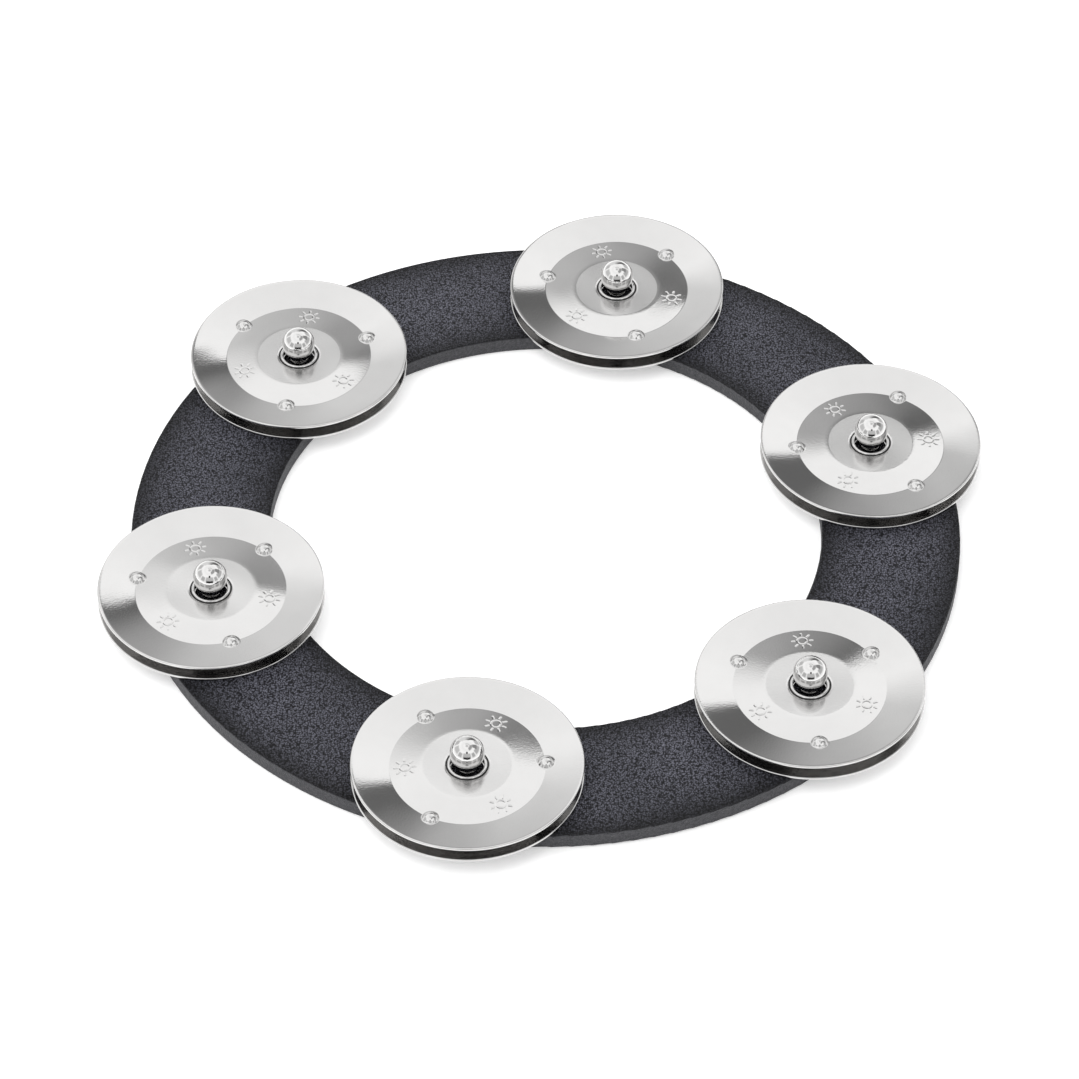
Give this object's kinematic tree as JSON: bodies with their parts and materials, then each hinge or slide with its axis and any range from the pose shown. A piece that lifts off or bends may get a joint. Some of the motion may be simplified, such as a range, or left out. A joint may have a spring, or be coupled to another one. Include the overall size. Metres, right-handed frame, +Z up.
{
  "type": "jingle ring tambourine",
  "caption": "Flat black ring band carrying pairs of loose stamped metal jingles on ball-headed rivets, laid on a cymbal or shaken as a tambourine.",
  "frame": {"origin": "centre of the ring, on the underside of the band", "axes": "+Z up through the ring, out of the side that the upper jingles face; the first station lies 17.5 degrees from +X towards +Y and the others follow every 60 degrees"},
  "size_m": [0.1622, 0.165, 0.0121],
  "materials": {
    "band": "charcoal black, fine grain, matt",
    "jingle": "bright nickel plate",
    "rivet": "bright nickel plate",
    "washer": "plain plated steel"
  },
  "bodies": {
    "band": {"band": "band", "rivet_1": "rivet", "rivet_2": "rivet", "rivet_3": "rivet", "rivet_4": "rivet", "rivet_5": "rivet", "rivet_6": "rivet", "backing_washer_1": "washer", "backing_washer_2": "washer", "backing_washer_3": "washer", "backing_washer_4": "washer", "backing_washer_5": "washer", "backing_washer_6": "washer"},
    "lower_jingle_1": {"lower_jingle_1": "jingle"},
    "upper_jingle_1": {"upper_jingle_1": "jingle"},
    "lower_jingle_2": {"lower_jingle_2": "jingle"},
    "upper_jingle_2": {"upper_jingle_2": "jingle"},
    "lower_jingle_3": {"lower_jingle_3": "jingle"},
    "upper_jingle_3": {"upper_jingle_3": "jingle"},
    "lower_jingle_4": {"lower_jingle_4": "jingle"},
    "upper_jingle_4": {"upper_jingle_4": "jingle"},
    "lower_jingle_5": {"lower_jingle_5": "jingle"},
    "upper_jingle_5": {"upper_jingle_5": "jingle"},
    "lower_jingle_6": {"lower_jingle_6": "jingle"},
    "upper_jingle_6": {"upper_jingle_6": "jingle"}
  },
  "joints": [
    {"name": "jingle_spin_1", "type": "hinge", "parent": "band", "child": "lower_jingle_1", "pos_m": [0.06056, 0.0191, 0.005], "axis": [0, 0, 1], "continuous": true},
    {"name": "jingle_rattle_1", "type": "slide", "parent": "lower_jingle_1", "child": "upper_jingle_1", "axis": [0, 0, 1], "range_m": [0, 0.0018]},
    {"name": "jingle_spin_2", "type": "hinge", "parent": "band", "child": "lower_jingle_2", "pos_m": [0.01374, 0.062, 0.005], "axis": [0, 0, 1], "continuous": true},
    {"name": "jingle_rattle_2", "type": "slide", "parent": "lower_jingle_2", "child": "upper_jingle_2", "axis": [0, 0, 1], "range_m": [0, 0.0018]},
    {"name": "jingle_spin_3", "type": "hinge", "parent": "band", "child": "lower_jingle_3", "pos_m": [-0.04682, 0.0429, 0.005], "axis": [0, 0, 1], "continuous": true},
    {"name": "jingle_rattle_3", "type": "slide", "parent": "lower_jingle_3", "child": "upper_jingle_3", "axis": [0, 0, 1], "range_m": [0, 0.0018]},
    {"name": "jingle_spin_4", "type": "hinge", "parent": "band", "child": "lower_jingle_4", "pos_m": [-0.06056, -0.0191, 0.005], "axis": [0, 0, 1], "continuous": true},
    {"name": "jingle_rattle_4", "type": "slide", "parent": "lower_jingle_4", "child": "upper_jingle_4", "axis": [0, 0, 1], "range_m": [0, 0.0018]},
    {"name": "jingle_spin_5", "type": "hinge", "parent": "band", "child": "lower_jingle_5", "pos_m": [-0.01374, -0.062, 0.005], "axis": [0, 0, 1], "continuous": true},
    {"name": "jingle_rattle_5", "type": "slide", "parent": "lower_jingle_5", "child": "upper_jingle_5", "axis": [0, 0, 1], "range_m": [0, 0.0018]},
    {"name": "jingle_spin_6", "type": "hinge", "parent": "band", "child": "lower_jingle_6", "pos_m": [0.04682, -0.0429, 0.005], "axis": [0, 0, 1], "continuous": true},
    {"name": "jingle_rattle_6", "type": "slide", "parent": "lower_jingle_6", "child": "upper_jingle_6", "axis": [0, 0, 1], "range_m": [0, 0.0018]}
  ]
}
